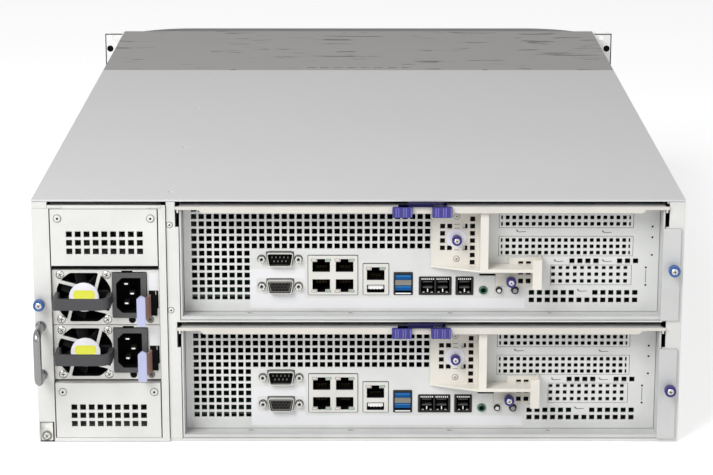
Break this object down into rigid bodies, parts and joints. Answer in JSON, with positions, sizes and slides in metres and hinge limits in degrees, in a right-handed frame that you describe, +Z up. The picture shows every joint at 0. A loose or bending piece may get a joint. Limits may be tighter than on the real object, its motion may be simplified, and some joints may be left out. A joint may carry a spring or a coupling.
{
  "type": "four-unit dual-controller storage server",
  "caption": "Four-unit rack storage server with a front bezel, slide-out controller canisters, a power column with plug-in supplies and slotted rack ears.",
  "frame": {"origin": "middle of the footprint on the underside of the base", "axes": "+X to the right seen from the rear, +Y from the rear face to the front bezel, +Z up"},
  "size_m": [0.4826, 0.733, 0.174],
  "materials": {
    "chassis_steel": "zinc-coated sheet, satin",
    "cover_steel": "zinc-coated sheet, smooth satin",
    "front_cover_steel": "satin grey",
    "ear_steel": "satin grey",
    "drive_plastic": "moulded black",
    "circuit_board": "solder mask",
    "screw_steel": "plated",
    "bezel_plastic": "fine-textured moulding",
    "handle_chrome": "polished",
    "blue_knob": "knurled, blue anodised",
    "violet_knob": "knurled, violet-blue",
    "psu_metal": "folded sheet, satin",
    "black_plastic": "moulded black",
    "latch_plastic": "lilac moulding",
    "panel_steel": "zinc-coated sheet, pale",
    "bracket_steel": "off-white sheet",
    "port_metal": "plated shells",
    "button_plastic": "smooth"
  },
  "bodies": {
    "chassis": {"bay_divider": "chassis_steel", "chassis_screws": "screw_steel", "chassis_shell": "chassis_steel", "drive_cage": "chassis_steel", "drive_carriers": "drive_plastic", "midplane_board": "circuit_board", "rack_ear_left": "ear_steel", "rack_ear_right": "ear_steel", "top_cover_front": "front_cover_steel", "top_cover_rear": "cover_steel"},
    "bezel": {"bezel_frame": "bezel_plastic", "bezel_grille": "bezel_plastic"},
    "power_column": {"power_cage": "chassis_steel", "cage_handle": "handle_chrome", "filler_panel_lower": "chassis_steel", "filler_panel_upper": "chassis_steel", "filler_screws": "screw_steel", "ground_terminal": "screw_steel"},
    "column_screw": {"cage_thumbscrew": "blue_knob"},
    "psu_1": {"psu_1_case": "psu_metal", "psu_1_inlet": "black_plastic", "psu_1_grip": "black_plastic", "psu_1_screws": "screw_steel"},
    "psu_1_fan": {"psu_1_rotor": "black_plastic"},
    "psu_1_release": {"psu_1_latch": "latch_plastic"},
    "psu_2": {"psu_2_case": "psu_metal", "psu_2_inlet": "black_plastic", "psu_2_grip": "black_plastic", "psu_2_screws": "screw_steel"},
    "psu_2_fan": {"psu_2_rotor": "black_plastic"},
    "psu_2_release": {"psu_2_latch": "latch_plastic"},
    "canister_a": {"canister_a_tray": "panel_steel", "canister_a_lid": "panel_steel", "canister_a_rear_panel": "panel_steel", "canister_a_slot_covers": "panel_steel", "canister_a_riser_bracket": "bracket_steel", "canister_a_bracket_thumbscrews": "violet_knob", "canister_a_mainboard": "circuit_board", "canister_a_ports": "port_metal"},
    "canister_a_ejector": {"canister_a_lever": "bracket_steel"},
    "canister_a_pad_left": {"canister_a_latch_left": "violet_knob"},
    "canister_a_pad_right": {"canister_a_latch_right": "violet_knob"},
    "canister_a_power": {"canister_a_power_button": "button_plastic"},
    "canister_a_function": {"canister_a_function_button": "button_plastic"},
    "canister_a_screw": {"canister_a_flange_thumbscrew": "violet_knob"},
    "canister_b": {"canister_b_tray": "panel_steel", "canister_b_lid": "panel_steel", "canister_b_rear_panel": "panel_steel", "canister_b_slot_covers": "panel_steel", "canister_b_riser_bracket": "bracket_steel", "canister_b_bracket_thumbscrews": "violet_knob", "canister_b_mainboard": "circuit_board", "canister_b_ports": "port_metal"},
    "canister_b_ejector": {"canister_b_lever": "bracket_steel"},
    "canister_b_pad_left": {"canister_b_latch_left": "violet_knob"},
    "canister_b_pad_right": {"canister_b_latch_right": "violet_knob"},
    "canister_b_power": {"canister_b_power_button": "button_plastic"},
    "canister_b_function": {"canister_b_function_button": "button_plastic"},
    "canister_b_screw": {"canister_b_flange_thumbscrew": "blue_knob"}
  },
  "joints": [
    {"name": "bezel_pull", "type": "slide", "parent": "chassis", "child": "bezel", "axis": [0, 1, 0], "range_m": [0, 0.06]},
    {"name": "power_column_slide", "type": "slide", "parent": "chassis", "child": "power_column", "axis": [0, -1, 0], "range_m": [0, 0.33]},
    {"name": "column_screw_draw", "type": "slide", "parent": "power_column", "child": "column_screw", "axis": [0, -1, 0], "range_m": [0, 0.005]},
    {"name": "psu_1_slide", "type": "slide", "parent": "power_column", "child": "psu_1", "axis": [0, -1, 0], "range_m": [0, 0.185]},
    {"name": "psu_1_fan_spin", "type": "hinge", "parent": "psu_1", "child": "psu_1_fan", "pos_m": [-0.1891, -0.3335, 0.10425], "axis": [0, 1, 0], "continuous": true},
    {"name": "psu_1_release_press", "type": "hinge", "parent": "psu_1", "child": "psu_1_release", "pos_m": [-0.1444, -0.3388, 0.09765], "axis": [0, 0, -1], "range_deg": [0, 8], "stiffness_Nm_per_rad": 0.6},
    {"name": "psu_2_slide", "type": "slide", "parent": "power_column", "child": "psu_2", "axis": [0, -1, 0], "range_m": [0, 0.185]},
    {"name": "psu_2_fan_spin", "type": "hinge", "parent": "psu_2", "child": "psu_2_fan", "pos_m": [-0.1891, -0.3335, 0.06455], "axis": [0, 1, 0], "continuous": true},
    {"name": "psu_2_release_press", "type": "hinge", "parent": "psu_2", "child": "psu_2_release", "pos_m": [-0.1444, -0.3388, 0.05795], "axis": [0, 0, -1], "range_deg": [0, 8], "stiffness_Nm_per_rad": 0.6},
    {"name": "canister_a_slide", "type": "slide", "parent": "chassis", "child": "canister_a", "axis": [0, -1, 0], "range_m": [0, 0.43]},
    {"name": "canister_a_lever_swing", "type": "hinge", "parent": "canister_a", "child": "canister_a_ejector", "pos_m": [0, -0.3145, 0.0764], "axis": [1, 0, 0], "range_deg": [0, 20]},
    {"name": "canister_a_pad_left_pinch", "type": "slide", "parent": "canister_a_ejector", "child": "canister_a_pad_left", "axis": [1, 0, 0], "range_m": [0, 0.0025], "stiffness_N_per_m": 900},
    {"name": "canister_a_pad_right_pinch", "type": "slide", "parent": "canister_a_ejector", "child": "canister_a_pad_right", "axis": [-1, 0, 0], "range_m": [0, 0.0025], "stiffness_N_per_m": 900},
    {"name": "canister_a_power_press", "type": "slide", "parent": "canister_a", "child": "canister_a_power", "axis": [0, 1, 0], "range_m": [0, 0.001], "stiffness_N_per_m": 1500},
    {"name": "canister_a_function_press", "type": "slide", "parent": "canister_a", "child": "canister_a_function", "axis": [0, 1, 0], "range_m": [0, 0.001], "stiffness_N_per_m": 1500},
    {"name": "canister_a_screw_draw", "type": "slide", "parent": "canister_a", "child": "canister_a_screw", "axis": [0, -1, 0], "range_m": [0, 0.005]},
    {"name": "canister_b_slide", "type": "slide", "parent": "chassis", "child": "canister_b", "axis": [0, -1, 0], "range_m": [0, 0.43]},
    {"name": "canister_b_lever_swing", "type": "hinge", "parent": "canister_b", "child": "canister_b_ejector", "pos_m": [0, -0.3145, 0.1625], "axis": [1, 0, 0], "range_deg": [0, 20]},
    {"name": "canister_b_pad_left_pinch", "type": "slide", "parent": "canister_b_ejector", "child": "canister_b_pad_left", "axis": [1, 0, 0], "range_m": [0, 0.0025], "stiffness_N_per_m": 900},
    {"name": "canister_b_pad_right_pinch", "type": "slide", "parent": "canister_b_ejector", "child": "canister_b_pad_right", "axis": [-1, 0, 0], "range_m": [0, 0.0025], "stiffness_N_per_m": 900},
    {"name": "canister_b_power_press", "type": "slide", "parent": "canister_b", "child": "canister_b_power", "axis": [0, 1, 0], "range_m": [0, 0.001], "stiffness_N_per_m": 1500},
    {"name": "canister_b_function_press", "type": "slide", "parent": "canister_b", "child": "canister_b_function", "axis": [0, 1, 0], "range_m": [0, 0.001], "stiffness_N_per_m": 1500},
    {"name": "canister_b_screw_draw", "type": "slide", "parent": "canister_b", "child": "canister_b_screw", "axis": [0, -1, 0], "range_m": [0, 0.005]}
  ],
  "couplings": [
    {"joint": "canister_a_pad_right_pinch", "follows": "canister_a_pad_left_pinch", "ratio": 1},
    {"joint": "canister_b_pad_right_pinch", "follows": "canister_b_pad_left_pinch", "ratio": 1}
  ]
}
